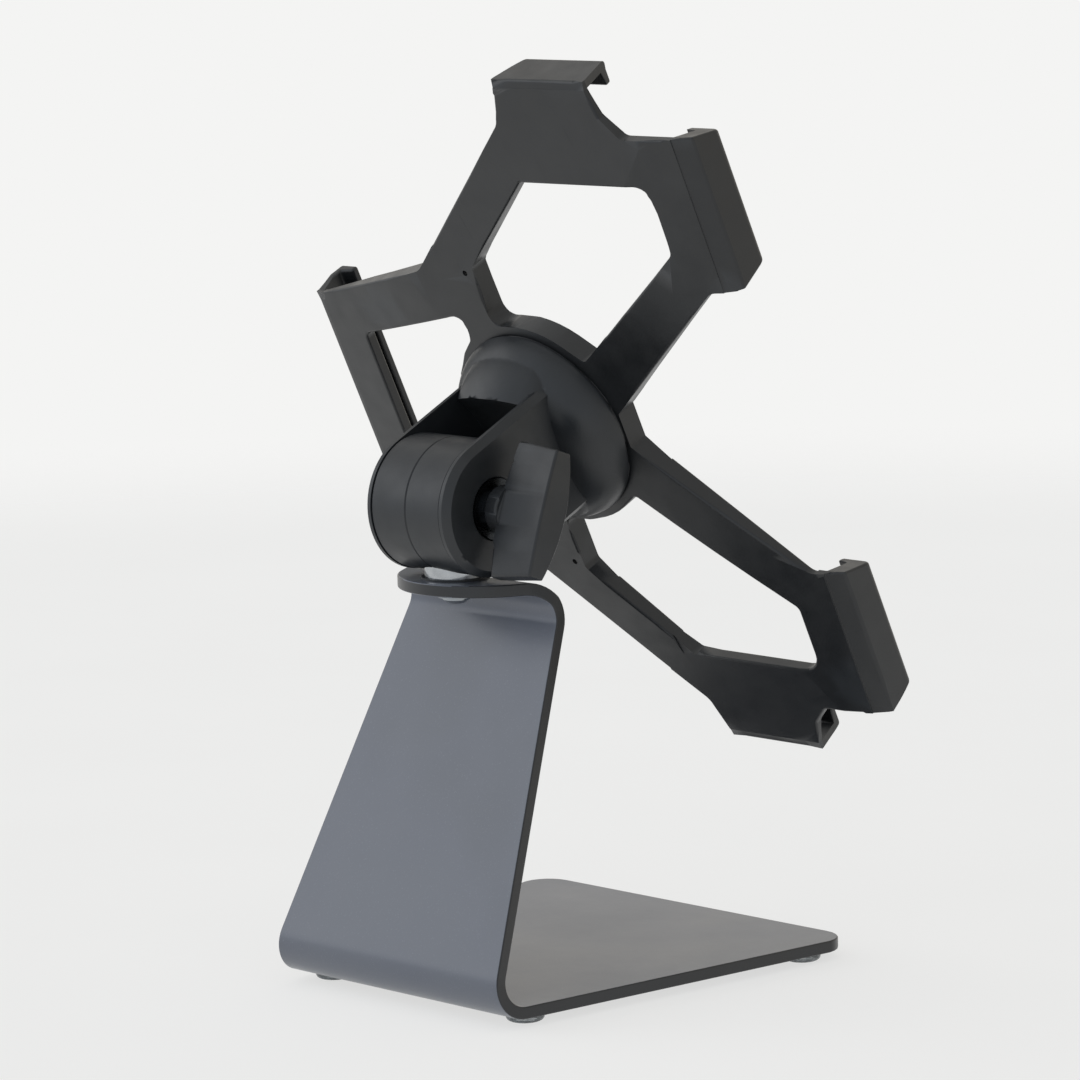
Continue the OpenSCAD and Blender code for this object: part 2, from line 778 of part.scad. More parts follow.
module wing_knob() {
    crown_r = (pow(wing_len / 2, 2) + pow(wing_crown, 2)) / (2 * wing_crown);
    color(moulded_black)
        at_tilt_axis()
            rotate([wing_turn, 0, 0])
                difference() {
                    union() {
                        intersection() {
                            translate([-wing_out_x - wing_crown, 0, 0])
                                rotate([0, 90, 0])
                                    linear_extrude(wing_w + wing_crown)
                                        rotate(90)
                                            wing_plan();
                            translate([crown_r - wing_out_x - wing_crown, 0, 0])
                                rotate([90, 0, 0])
                                    cylinder(h = 2 * wing_mid_t, r = crown_r, center = true, $fn = 360);
                            rotate([90, 0, 0])
                                linear_extrude(2 * wing_mid_t, center = true)
                                    wing_side();
                        }
                        x_rod(-wing_in_x - over, -knob_in_x, knob_hub_d / 2);
                    }
                    x_rod(-knob_in_x - insert_len, -knob_in_x + over, insert_r + seat_fit / 2);
                    x_rod(-bolt_end_x - over, -knob_in_x, bolt_d / 2 + run_gap);
                }
}

module knob_insert()
    color(brass_colour)
        at_tilt_axis()
            x_ring(-knob_in_x - insert_len, -knob_in_x, insert_r, bolt_d / 2 + turn_fit);

module retaining_plate()
    color(zinc_steel)
        on_cradle()
            translate([0, 0, keeper_out_w])
                rotate([0, 180, 0])
                    translate([0, 0, -keeper_t])
                        difference() {
                            cylinder(h = keeper_t, r = keeper_d / 2);
                            hub_screw_places()
                                translate([0, 0, -over])
                                    cylinder(h = keeper_t + 2 * over, r = hub_screw_d / 2 + seat_fit);
                        }

module hub_screws()
    color(zinc_steel)
        on_head()
            translate([0, 0, glass_reach - keeper_out_w])
                hub_screw_places() {
                    translate([0, 0, 0.5 - hub_screw_len])
                        cylinder(h = hub_screw_len, r = hub_screw_d / 2);
                    difference() {
                        cylinder(h = hub_screw_head_h, r = hub_screw_head_d / 2);
                        for (turn = [0, 90])
                            rotate(turn)
                                translate([-hub_screw_d * 0.4, -0.35, hub_screw_head_h * 0.4])
                                    cube([hub_screw_d * 0.8, 0.7, hub_screw_head_h]);
                    }
                }

module pivot_ring()
    color(nylon_black)
        on_cradle()
            translate([0, 0, pivot_end_w])
                tube(pivot_ring_t, keeper_d / 2, pivot_d / 2 + turn_fit);

// Space under the crowned back of the cradle, lowered by d
module under_crown(d) {
    intersection() {
        translate([0, 0, hub_face_w - d - crown_across_r])
            rotate([90, 0, 0])
                cylinder(h = 4 * wall_in_y, r = crown_across_r, center = true, $fn = 720);
        translate([0, 0, hub_face_w - d - crown_along_r])
            rotate([0, 90, 0])
                cylinder(h = 4 * wall_in_x, r = crown_along_r, center = true, $fn = 720);
    }
}

// The cradle's plan with its three windows; d moves every edge into the material
module cradle_plan(d)
    difference() {
        polygon(rounded(inset(cradle_edge, d)));
        polygon(rounded(inset(upper_window, -d)));
        mirror([0, 1])
            polygon(rounded(inset(upper_window, -d)));
        polygon(rounded(inset(grip_window, -d)));
    }

// Wall and lip that wrap one edge of the tablet; the plan runs outwards from the edge along +X
module hook_section(thick, bevel) {
    back_w = seat_w + shell_t * 0.7;
    polygon(rounded([
        [-lip_over, -tablet_play - lip_t, 0],
        [thick, -tablet_play - lip_t, min(hook_round, thick * 0.5)],
        [thick, back_w - bevel, 0],
        [0, back_w, 0],
        [-2, back_w, 0],
        [-2, seat_w, 0],
        [0, seat_w, 0],
        [0, -tablet_play, 0],
        [-lip_over, -tablet_play - lip_t * 0.25, 0]
    ]));
}

// Hook from a to b along the edge, with ends that draw in by draft towards the front
module hook(a, b, draft, thick, bevel) {
    low_w = -tablet_play - lip_t;
    intersection() {
        translate([0, b + 2 * over, 0])
            rotate([90, 0, 0])
                linear_extrude(b - a + 4 * over)
                    hook_section(thick, bevel);
        translate([-2 * lip_over, 0, 0])
            rotate([90, 0, 90])
                linear_extrude(2 * lip_over + 2 * thick)
                    polygon([
                        [a, seat_w + 2 * shell_t],
                        [a, seat_w],
                        [a + draft, low_w],
                        [b - draft, low_w],
                        [b, seat_w],
                        [b, seat_w + 2 * shell_t]
                    ]);
    }
}

module upper_hooks() {
    translate([wall_in_x, 0, 0])
        hook(side_hook_low, side_hook_high, side_hook_draft, side_hook_w, 2.2);
    translate([0, wall_in_y, 0])
        rotate([0, 0, 90])
            hook(-end_hook_out, -end_hook_in, end_hook_draft, hook_t, 0.5);
}

module cradle()
    color(moulded_black)
        on_cradle()
            difference() {
                union() {
                    intersection() {
                        translate([0, 0, seat_w])
                            linear_extrude(hub_face_w)
                                cradle_plan(0);
                        under_crown(0);
                    }
                    translate([0, 0, seat_w])
                        cylinder(h = hub_face_w - seat_w, r = dome_r - hub_boss_in);
                    upper_hooks();
                    mirror([0, 1, 0])
                        upper_hooks();
                    translate([-wall_in_x, 0, 0])
                        rotate([0, 0, 180])
                            hook(-grip_half, grip_half, -grip_flare, hook_t, 0.5);
                }
                intersection() {
                    difference() {
                        translate([0, 0, seat_w - over])
                            linear_extrude(hub_face_w)
                                cradle_plan(shell_t);
                        cylinder(h = hub_face_w, r = hub_ring_r);
                    }
                    under_crown(shell_t);
                }
                translate([0, 0, seat_w - over])
                    cylinder(h = pivot_floor_w - seat_w + over, r = keeper_d / 2 + keeper_room);
                cylinder(h = hub_face_w + over, r = pivot_d / 2 + turn_fit);
                for (side = [-1, 1])
                    translate([pilot[0], side * pilot[1], 0])
                        cylinder(h = hub_face_w + over, r = pilot_d / 2);
            }

base_plate();
foot_front_left();
foot_front_right();
foot_rear_left();
foot_rear_right();
swivel_washer_top();
swivel_washer_bottom();
swivel_post();
post_washer();
post_screw();
knuckle_left();
knuckle_right();
knuckle_screws();
friction_disc_left();
friction_disc_right();
tilt_fork();
clamp_bolt();
knob_washer();
spring_washer();
wing_knob();
knob_insert();
retaining_plate();
hub_screws();
pivot_ring();
cradle();
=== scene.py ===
# Desktop tablet stand seen from behind: bent steel foot, swivelling knuckle, clamped fork, moulded cradle
import json
import math
import bpy
import bmesh
from mathutils import Matrix, Quaternion, Vector
from mathutils.bvhtree import BVHTree
from mathutils.kdtree import KDTree

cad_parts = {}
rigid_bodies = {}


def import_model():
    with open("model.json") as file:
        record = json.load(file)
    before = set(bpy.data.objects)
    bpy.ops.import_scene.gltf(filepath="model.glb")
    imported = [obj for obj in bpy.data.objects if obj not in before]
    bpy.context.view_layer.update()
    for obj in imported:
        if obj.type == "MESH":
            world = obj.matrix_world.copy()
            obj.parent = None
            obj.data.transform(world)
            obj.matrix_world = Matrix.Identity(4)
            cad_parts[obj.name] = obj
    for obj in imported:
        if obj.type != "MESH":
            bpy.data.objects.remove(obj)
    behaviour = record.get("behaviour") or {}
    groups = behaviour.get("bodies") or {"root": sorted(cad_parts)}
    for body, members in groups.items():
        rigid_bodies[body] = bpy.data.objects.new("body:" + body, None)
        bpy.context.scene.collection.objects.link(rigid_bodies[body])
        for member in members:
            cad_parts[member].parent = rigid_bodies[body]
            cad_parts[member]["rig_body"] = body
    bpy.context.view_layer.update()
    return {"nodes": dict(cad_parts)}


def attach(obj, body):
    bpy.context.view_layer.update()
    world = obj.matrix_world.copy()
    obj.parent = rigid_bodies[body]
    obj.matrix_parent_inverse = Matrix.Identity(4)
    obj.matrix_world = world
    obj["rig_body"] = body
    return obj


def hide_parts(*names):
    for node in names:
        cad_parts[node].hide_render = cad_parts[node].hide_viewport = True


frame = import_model()
nodes = frame["nodes"]
print("frame loaded with", len(nodes), "nodes")

mm = 0.001

# Camera

cameraSetup = {
    "target": (0.85 * mm, 2.05 * mm, 141.4 * mm),
    "distance": 1526.5 * mm,
    "azimuth": 224.54,   # degrees from the front, towards +X
    "elevation": 8.89,
    "roll": -1.44,
    "lens": 157.13,      # mm, like the sensor
    "sensor": 36,
    "clipEnd": 50,       # metres
}


def makeCamera(setup):
    azimuth, elevation, roll = [math.radians(setup[k]) for k in ("azimuth", "elevation", "roll")]
    back = Vector((math.sin(azimuth) * math.cos(elevation), -math.cos(azimuth) * math.cos(elevation),
                   math.sin(elevation)))
    right = Vector((math.cos(azimuth), math.sin(azimuth), 0))
    up = back.cross(right)
    xAxis = right * math.cos(roll) + up * math.sin(roll)
    yAxis = up * math.cos(roll) - right * math.sin(roll)
    turn = Matrix((xAxis, yAxis, back)).transposed().to_4x4()
    cameraData = bpy.data.cameras.new("camera")
    cameraData.lens = setup["lens"]
    cameraData.sensor_width = setup["sensor"]
    cameraData.sensor_fit = "HORIZONTAL"
    cameraData.clip_end = setup["clipEnd"]
    camera = bpy.data.objects.new("camera", cameraData)
    camera.matrix_world = Matrix.Translation(Vector(setup["target"]) + back * setup["distance"]) @ turn
    bpy.context.scene.collection.objects.link(camera)
    bpy.context.scene.camera = camera


makeCamera(cameraSetup)
print("camera placed")

# Materials


def hexToLinear(code):
    parts = [int(code[i:i + 2], 16) / 255 for i in (1, 3, 5)]
    return tuple(c / 12.92 if c <= 0.04045 else ((c + 0.055) / 1.055) ** 2.4 for c in parts) + (1.0,)


# Gives a ramp its stops, each a position and a hex colour
def setStops(ramp, stops):
    for index, (position, code) in ((0, stops[0]), (1, stops[-1])):
        ramp.elements[index].position = position
        ramp.elements[index].color = hexToLinear(code)
    for position, code in stops[1:-1]:
        ramp.elements.new(position).color = hexToLinear(code)


def addNode(tree, kind, settings=None, links=None):
    node = tree.nodes.new("ShaderNode" + kind)
    for key, value in (settings or {}).items():
        if key == "stops":
            setStops(node.color_ramp, value)
        elif isinstance(key, int) or key in node.inputs:
            node.inputs[key].default_value = value
        else:
            setattr(node, key, value)
    for key, source in (links or {}).items():
        tree.links.new(source, node.inputs[key])
    return node


def newMaterial(name):
    material = bpy.data.materials.new(name)
    material.use_nodes = True
    tree = material.node_tree
    tree.nodes.clear()
    place = addNode(tree, "TexCoord").outputs["Object"]
    return material, tree, place


# How much smoother and duller than its own roughness a finish gets in places
glossSpread = {
    "powder": (0.05, 0.06),
    "nylon": (0.05, 0.07),
    "metal": (0.04, 0.08),
    "cast": (0.05, 0.08),
}
noiseRange = {"From Min": 0.3, "From Max": 0.7}  # a noise seldom leaves it


def unevenGloss(tree, pattern, roughness, spread):
    smoother, duller = spread
    gloss = addNode(tree, "MapRange",
                    {**noiseRange, "To Min": roughness - smoother, "To Max": roughness + duller},
                    {"Value": pattern})
    return gloss.outputs["Result"]


# Lighter tone on convex edges: a painted edge highlight
edgeHighlightFinish = {
    "tone": "#3a3e42",
    "share": 0.35,
    "low": 0.53,        # how convex an edge is where the painted highlight begins
    "high": 0.62,       # and where it's full
    "grain": 3 * mm,
    "breakUp": 0.03,    # how far the grain shifts those two
}


# Painted highlight along the edges: a lighter tone where the geometry is convex
def paintedEdgeHighlight(tree, place, look):
    point = addNode(tree, "NewGeometry").outputs["Pointiness"]
    breakUp = addNode(tree, "TexNoise", {"Scale": 1 / look["grain"], "Detail": 4}, {"Vector": place})
    shift = addNode(tree, "Math",
                    {"operation": "MULTIPLY_ADD", 1: look["breakUp"], 2: -look["breakUp"] / 2},
                    {0: breakUp.outputs["Fac"]})
    mixed = addNode(tree, "Math", {"operation": "ADD"}, {0: point, 1: shift.outputs["Value"]})
    spread = addNode(tree, "MapRange", {"From Min": look["low"], "From Max": look["high"]},
                     {"Value": mixed.outputs["Value"]})
    share = addNode(tree, "Math", {"operation": "MULTIPLY", 1: look["share"]},
                    {0: spread.outputs["Result"]})
    return share.outputs["Value"]


paintFinish = {
    "paint": "#676c77",
    "paintDark": "#626771",
    "paintLight": "#6a6f79",
    "cloud": 60 * mm,
    "fleck": "#8f949c",
    "fleckSize": 0.35 * mm,   # real flakes are near 0.05 mm, drawn coarser so that they show
    "fleckShare": 0.22,
    "orangePeel": 1.1 * mm,   # ripple left by the powder as it flows
    "wipe": 55 * mm,          # patches that wiping leaves a little glossier or duller
    "roughness": 0.34,
}

# The sheet's cut edges are drawn near-black: the same powder-coat pattern in a darker tone
cutEdgeFinish = {
    **paintFinish,
    "paint": "#1b1d20",
    "paintDark": "#17191b",
    "paintLight": "#222427",
    "fleck": "#3a3d41",
    "orangePeel": 0.7 * mm,
    "roughness": 0.4,
}


# Charcoal powder coat on steel, stoved: even satin sheen with a faint ripple and fine metallic flecks
def powderCoat(name, look):
    material, tree, place = newMaterial(name)
    cloud = addNode(tree, "TexNoise", {"Scale": 1 / look["cloud"], "Detail": 2}, {"Vector": place})
    body = addNode(tree, "ValToRGB",
                   {"stops": [(0.35, look["paintDark"]), (0.5, look["paint"]), (0.68, look["paintLight"])]},
                   {"Fac": cloud.outputs["Fac"]})
    flakes = addNode(tree, "TexVoronoi", {"Scale": 1 / look["fleckSize"]}, {"Vector": place})
    few = addNode(tree, "MapRange", {"From Min": 0.8, "From Max": 0.98, "To Max": look["fleckShare"]},
                  {"Value": flakes.outputs["Color"]})
    colour = addNode(tree, "MixRGB", {"Color2": hexToLinear(look["fleck"])},
                     {"Fac": few.outputs["Result"], "Color1": body.outputs["Color"]})
    ripple = addNode(tree, "TexNoise", {"Scale": 1 / look["orangePeel"], "Detail": 2, "Roughness": 0.4},
                     {"Vector": place})
    wipe = addNode(tree, "TexNoise", {"Scale": 1 / look["wipe"], "Detail": 5, "Roughness": 0.62},
                   {"Vector": place})
    gloss = unevenGloss(tree, wipe.outputs["Fac"], look["roughness"], glossSpread["powder"])
    bump = addNode(tree, "Bump", {"Strength": 0.12, "Distance": 0.05 * mm},
                   {"Height": ripple.outputs["Fac"]})
    shader = addNode(tree, "BsdfPrincipled",
                     {"Metallic": 0.0, "IOR": 1.5, "Coat Weight": 0.25, "Coat Roughness": 0.22},
                     {"Base Color": colour.outputs["Color"], "Roughness": gloss,
                      "Normal": bump.outputs["Normal"]})
    addNode(tree, "OutputMaterial", links={"Surface": shader.outputs["BSDF"]})
    return material


nylonFinish = {
    "cradle": {"body": "#1c1e20", "low": "#191b1d", "high": "#202224", "roughness": 0.36},
    "fork": {"body": "#24272a", "low": "#212426", "high": "#292c2f", "roughness": 0.38},
    "knuckle": {"body": "#1e2124", "low": "#1b1d20", "high": "#222528", "roughness": 0.42},
    "knob": {"body": "#1e2124", "low": "#1b1d20", "high": "#232629", "roughness": 0.4},
    "disc": {"body": "#17181a", "low": "#131416", "high": "#1c1d1f", "roughness": 0.5},
}
mouldedSkin = {
    "sparkGrain": 0.45 * mm,  # spark-eroded tool texture, real grain near 0.1 mm, drawn coarser to show
    "flow": 26 * mm,          # drift of tone where the melt ran
    "haze": 9 * mm,           # patches that are a little glossier or duller
}


# Glass-filled nylon, injection moulded in a spark-eroded tool: satin black with a fine even grain
def mouldedNylon(name, look, skin):
    material, tree, place = newMaterial(name)
    flow = addNode(tree, "TexNoise",
                   {"Scale": 1 / skin["flow"], "Detail": 4, "Roughness": 0.55, "Distortion": 0.6},
                   {"Vector": place})
    body = addNode(tree, "ValToRGB",
                   {"stops": [(0.32, look["low"]), (0.5, look["body"]), (0.7, look["high"])]},
                   {"Fac": flow.outputs["Fac"]})
    # Painted edge highlight: convex edges are mixed towards a lighter tone
    colour = addNode(tree, "MixRGB", {"Color2": hexToLinear(edgeHighlightFinish["tone"])},
                     {"Fac": paintedEdgeHighlight(tree, place, edgeHighlightFinish), "Color1": body.outputs["Color"]})
    grain = addNode(tree, "TexVoronoi", {"Scale": 1 / skin["sparkGrain"], "feature": "SMOOTH_F1"},
                    {"Vector": place})
    haze = addNode(tree, "TexNoise", {"Scale": 1 / skin["haze"], "Detail": 3}, {"Vector": place})
    gloss = unevenGloss(tree, haze.outputs["Fac"], look["roughness"], glossSpread["nylon"])
    bump = addNode(tree, "Bump", {"Strength": 0.3, "Distance": 0.04 * mm},
                   {"Height": grain.outputs["Distance"]})
    shader = addNode(tree, "BsdfPrincipled", {"IOR": 1.53, "Specular IOR Level": 0.5},
                     {"Base Color": colour.outputs["Color"], "Roughness": gloss,
                      "Normal": bump.outputs["Normal"]})
    addNode(tree, "OutputMaterial", links={"Surface": shader.outputs["BSDF"]})
    return material


# Each line is a feed mark of the lathe, really near 0.1 mm, drawn coarser so that it shows
metalFinish = {
    "turned": {"metal": "#bdc0c3", "shade": "#a9acaf", "roughness": 0.1, "line": 0.3 * mm, "depth": 0.05},
    # Dark steel: painted shade, standing in for the shadow between ear and knob on washers of bright steel
    "paintedShade": {"metal": "#4b4e51", "shade": "#36383b", "roughness": 0.26, "line": 0.4 * mm,
                  "depth": 0.08},
    "zinc": {"metal": "#a6aaad", "shade": "#999da0", "roughness": 0.34, "line": 0.6 * mm, "depth": 0.12},
    "brass": {"metal": "#c9a55a", "shade": "#a98642", "roughness": 0.28, "line": 0.4 * mm, "depth": 0.1},
}
latheMarks = {
    "patch": 5 * mm,  # patches of plating that differ a little in tone
    "stretch": 0.05,  # draws the noise out along X and Y, so that it lies in lines across Z
}


# Turned and plated metal: rings from the lathe stretch the highlights, plating varies a little in tone
def platedMetal(name, look, marks):
    material, tree, place = newMaterial(name)
    tone = addNode(tree, "TexNoise", {"Scale": 1 / marks["patch"], "Detail": 4}, {"Vector": place})
    colour = addNode(tree, "ValToRGB", {"stops": [(0.35, look["shade"]), (0.65, look["metal"])]},
                     {"Fac": tone.outputs["Fac"]})
    flat = addNode(tree, "Mapping", {"Scale": (marks["stretch"], marks["stretch"], 1)}, {"Vector": place})
    rings = addNode(tree, "TexNoise", {"Scale": 1 / look["line"], "Detail": 2},
                    {"Vector": flat.outputs["Vector"]})
    gloss = unevenGloss(tree, rings.outputs["Fac"], look["roughness"], glossSpread["metal"])
    bump = addNode(tree, "Bump", {"Strength": look["depth"], "Distance": 0.03 * mm},
                   {"Height": rings.outputs["Fac"]})
    shader = addNode(tree, "BsdfPrincipled", {"Metallic": 1.0},
                     {"Base Color": colour.outputs["Color"], "Roughness": gloss,
                      "Normal": bump.outputs["Normal"]})
    addNode(tree, "OutputMaterial", links={"Surface": shader.outputs["BSDF"]})
    return material


bumperFinish = {"clear": "#c9ced0", "core": "#8e9699", "roughness": 0.16, "haze": 2.5 * mm}


# Clear polyurethane bumper, cast: glassy skin, slightly milky inside, so it reads as a bright wet dot
def castPolyurethane(name, look):
    material, tree, place = newMaterial(name)
    haze = addNode(tree, "TexNoise", {"Scale": 1 / look["haze"], "Detail": 3}, {"Vector": place})
    colour = addNode(tree, "ValToRGB", {"stops": [(0.35, look["core"]), (0.65, look["clear"])]},
                     {"Fac": haze.outputs["Fac"]})
    gloss = unevenGloss(tree, haze.outputs["Fac"], look["roughness"], glossSpread["cast"])
    bump = addNode(tree, "Bump", {"Strength": 0.08, "Distance": 0.03 * mm}, {"Height": haze.outputs["Fac"]})
    shader = addNode(tree, "BsdfPrincipled", {"IOR": 1.5, "Transmission Weight": 0.55},
                     {"Base Color": colour.outputs["Color"], "Roughness": gloss,
                      "Normal": bump.outputs["Normal"]})
    addNode(tree, "OutputMaterial", links={"Surface": shader.outputs["BSDF"]})
    return material


powderSteel = powderCoat("powderSteel", paintFinish)
cutEdgeSteel = powderCoat("cutEdgeSteel", cutEdgeFinish)
cradleNylon = mouldedNylon("cradleNylon", nylonFinish["cradle"], mouldedSkin)
forkNylon = mouldedNylon("forkNylon", nylonFinish["fork"], mouldedSkin)
knuckleNylon = mouldedNylon("knuckleNylon", nylonFinish["knuckle"], mouldedSkin)
knobNylon = mouldedNylon("knobNylon", nylonFinish["knob"], mouldedSkin)
discNylon = mouldedNylon("discNylon", nylonFinish["disc"], mouldedSkin)
turnedSteel = platedMetal("turnedSteel", metalFinish["turned"], latheMarks)
zincSteel = platedMetal("zincSteel", metalFinish["zinc"], latheMarks)
paintedShadeSteel = platedMetal("paintedShadeSteel", metalFinish["paintedShade"], latheMarks)
turnedBrass = platedMetal("turnedBrass", metalFinish["brass"], latheMarks)
bumperClear = castPolyurethane("bumperClear", bumperFinish)

nodeFinish = {
    "base_plate": powderSteel, "cradle": cradleNylon, "tilt_fork": forkNylon,
    "knuckle_left": knuckleNylon, "knuckle_right": knuckleNylon, "wing_knob": knobNylon,
    "swivel_washer_top": discNylon, "swivel_washer_bottom": discNylon, "friction_disc_left": discNylon,
    "friction_disc_right": discNylon, "pivot_ring": discNylon, "swivel_post": turnedSteel,
    # The knob washer and spring washer take the dark steel as painted shade
    "knob_washer": paintedShadeSteel, "knob_insert": turnedBrass, "post_washer": zincSteel,
    "post_screw": zincSteel, "knuckle_screws": zincSteel, "clamp_bolt": zincSteel,
    "spring_washer": paintedShadeSteel, "retaining_plate": zincSteel, "hub_screws": zincSteel,
    "foot_front_left": bumperClear, "foot_front_right": bumperClear,
    "foot_rear_left": bumperClear, "foot_rear_right": bumperClear,
}
for name, node in nodes.items():
    node.data.materials.clear()
    node.data.materials.append(nodeFinish[name])
print("materials on", len(nodes), "nodes")

# Pieces that take over from a node where the real part has rounded edges

roundedPieces = {
    "base_plate": {
        "width": 0.5 * mm,
        "finish": powderSteel,
        "edgeFinish": cutEdgeSteel,
        "sideFacing": 0.3,     # parts of a face's normal that tell a cut edge from the sheet's faces
        "frontFacing": 0.9,
        "upFacing": 0.5,
        "frontTop": 7 * mm,    # the floor plate's front edge lies below this
        "noseBack": 39.5 * mm,
        "noseLow": 110 * mm,   # the flange's nose lies above this and behind noseBack
    },
    "cradle": {
        "width": 0.9 * mm,
        "finish": cradleNylon,
        "crownAxis": (0, -0.903335, 0.428935),  # the axis that the cradle turns on, as it stands at rest
        "crownFacing": 0.85,   # how squarely a crowned face looks along that axis
        "cell": 13 * mm,
        "cellTurn": 24,        # degrees that the cells lie turned about that axis
        "cellAngle": 1.6,      # degrees within which the facets in a cell are joined
    },
    "tilt_fork": {"width": 0.6 * mm, "finish": forkNylon, "evenBorders": True, "crease": 16},
    "wing_knob": {"width": 0.9 * mm, "finish": knobNylon},
}

# What every rounding goes by, with angles in degrees
rounding = {
    "weld": 0.002 * mm,
    "flatAngle": 0.2,      # faces within this angle are one flat face
    "sharpAngle": 35,      # edges bent by more than this are rounded
    "segments": 4,
    "attempts": 6,
    "narrowings": 2,       # attempts in which a tight rounding is narrowed, after that it's left out
    "narrowBy": 0.4,
    "narrowest": 0.2,      # share of the width below which a tight one is left out at once
    "offShape": 0.6,       # share of the width by which a good face may leave the shape
    "awry": 0.2,           # least cosine between its normal and the shape's
    "tinyArea": 1e-12,     # faces under this, in square metres, aren't judged
    "tightReach": 0.85,    # share of the width within which a bad face makes an edge tight
    "step": 0.6,
    "crease": 28,          # edges bent by more than this are shaded sharp
    "bentAngle": 2.5,      # faces bent by more than this are split
}

# How a rounding shares the room at a corner with the next edge
cornerRoom = {
    "most": 10 * mm,
    "besideSharp": 0.42,   # a little under half, since the other edge is rounded too
    "besideSoft": 0.9,
    "runsOn": 0.45,        # sine of the angle below which a sharp edge carries this one on
    "inLine": 140,         # degrees from which two edges belong to one border
}


# How far a rounding may reach at one end of an edge before it meets the next corner
def roomAt(corner, edge, sharp):
    along = (edge.other_vert(corner).co - corner.co).normalized()
    room = cornerRoom["most"]
    for other in corner.link_edges:
        away = other.other_vert(corner).co - corner.co
        across = (away - along * away.dot(along)).length
        if other is edge or (other in sharp and across < cornerRoom["runsOn"] * away.length):
            continue
        room = min(room, across * cornerRoom["besideSharp" if other in sharp else "besideSoft"])
    return room


def facesAlong(edge, axis, facing):
    return all(abs(f.normal.dot(axis)) > facing for f in edge.link_faces)


# Cuts the crowned faces into even cells, so that a rounding along their border has clean edges to run on
def evenCells(shape, look):
    axis = Vector(look["crownAxis"])
    first = axis.orthogonal().normalized()
    first.rotate(Quaternion(axis, math.radians(look["cellTurn"])))
    for direction in (first, axis.cross(first)):
        reach = [v.co.dot(direction) for v in shape.verts]
        place = min(reach) + look["cell"] / 2
        while place < max(reach):
            cut = bmesh.ops.bisect_plane(shape, geom=shape.verts[:] + shape.edges[:] + shape.faces[:],
                                         plane_co=direction * place, plane_no=direction)
            for item in cut["geom_cut"]:
                if isinstance(item, bmesh.types.BMEdge):
                    item.seam = facesAlong(item, axis, look["crownFacing"])
            place += look["cell"]
    crown = [e for e in shape.edges if facesAlong(e, axis, look["crownFacing"])]
    bmesh.ops.dissolve_limit(shape, angle_limit=math.radians(look["cellAngle"]), verts=[], edges=crown,
                             delimit={"SEAM"})


def evaluatedMesh(piece):
    bpy.context.view_layer.update()
    done = bpy.data.meshes.new_from_object(piece.evaluated_get(bpy.context.evaluated_depsgraph_get()))
    piece.modifiers.clear()
    piece.data = done
    return done


# Corners of faces that lie off the shape or look the wrong way: the rounding ran into itself there
def badPlaces(done, surface, width):
    places = []
    for face in done.polygons:
        spot, normal, index, distance = surface.find_nearest(face.center)
        astray = distance > rounding["offShape"] * width or face.normal.dot(normal) < rounding["awry"]
        if face.area > rounding["tinyArea"] and astray:
            places.extend(done.vertices[v].co.copy() for v in face.vertices)
    tree = KDTree(len(places))
    for index, place in enumerate(places):
        tree.insert(place, index)
    tree.balance()
    return tree


# Looks along an edge in steps that are shorter than the reach
def runsPast(edge, places, reach):
    start, end = [v.co for v in edge.verts]
    steps = max(1, math.ceil((end - start).length / (rounding["step"] * reach)))
    return any(places.find_range(start.lerp(end, i / steps), reach) for i in range(steps + 1))


def inLine(edge, other, corner):
    along = edge.other_vert(corner).co - corner.co
    away = other.other_vert(corner).co - corner.co
    return along.angle(away, 0) > math.radians(cornerRoom["inLine"])


# Borders, each the list of sharp edges that run on smoothly from one to the next
def edgeBorders(sharp):
    left = dict.fromkeys(sharp)
    borders = []
    while left:
        border = [left.popitem()[0]]
        for edge in border:
            for corner in edge.verts:
                for other in corner.link_edges:
                    if other in left and inLine(edge, other, corner):
                        left.pop(other)
                        border.append(other)
        borders.append(border)
    return borders


# Gives a whole border the width of its tightest place, so that the rounding doesn't look torn
def evenWeights(borders, weights):
    for border in borders:
        low = min(e[weights] for e in border)
        for edge in border:
            edge[weights] = low


# Bevels the sharp edges, and leaves an edge sharp where its rounding would not fit
def bevelShape(piece, shape, sharp, look):
    width = look["width"]
    weights = shape.edges.layers.float["bevel_weight_edge"]
    for edge in sharp:
        edge[weights] = min(1.0, min(roomAt(v, edge, sharp) for v in edge.verts) / width)
    borders = edgeBorders(sharp) if "evenBorders" in look else []
    evenWeights(borders, weights)
    surface = BVHTree.FromBMesh(shape)
    base = piece.data
    for attempt in range(rounding["attempts"]):
        piece.data = base
        shape.to_mesh(base)
        bevel = piece.modifiers.new("roundEdges", "BEVEL")
        bevel.limit_method = "WEIGHT"
        bevel.width = width
        bevel.segments = rounding["segments"]
        bevel.use_clamp_overlap = False
        done = evaluatedMesh(piece)
        places = badPlaces(done, surface, width)
        reach = rounding["tightReach"] * width
        tight = [e for e in sharp if e[weights] > 0 and runsPast(e, places, reach)]
        if not tight:
            break
        for edge in tight:
            narrows = edge[weights] > rounding["narrowest"] and attempt < rounding["narrowings"]
            edge[weights] = rounding["narrowBy"] * edge[weights] if narrows else 0.0
        evenWeights(borders, weights)
    print("bevel of", piece.name, "settled after", attempt + 1, "rounds,", len(tight), "tight edges left")
    return done


# Splits faces that a rounding has bent, since one normal over such a face shows as a streak
def splitBentFaces(mesh):
    shape = bmesh.new()
    shape.from_mesh(mesh)
    bmesh.ops.connect_verts_nonplanar(shape, angle_limit=math.radians(rounding["bentAngle"]),
                                      faces=shape.faces)
    shape.to_mesh(mesh)
    shape.free()


# The sheet's sides, the floor plate's front edge and the flange's nose
def isCutEdge(face, look):
    side = abs(face.normal.x) > look["sideFacing"]
    front = face.normal.y < -look["frontFacing"] and face.center.z < look["frontTop"]
    atNose = face.center.y > look["noseBack"] and face.center.z > look["noseLow"]
    return side or front or (atNose and abs(face.normal.z) < look["upFacing"])


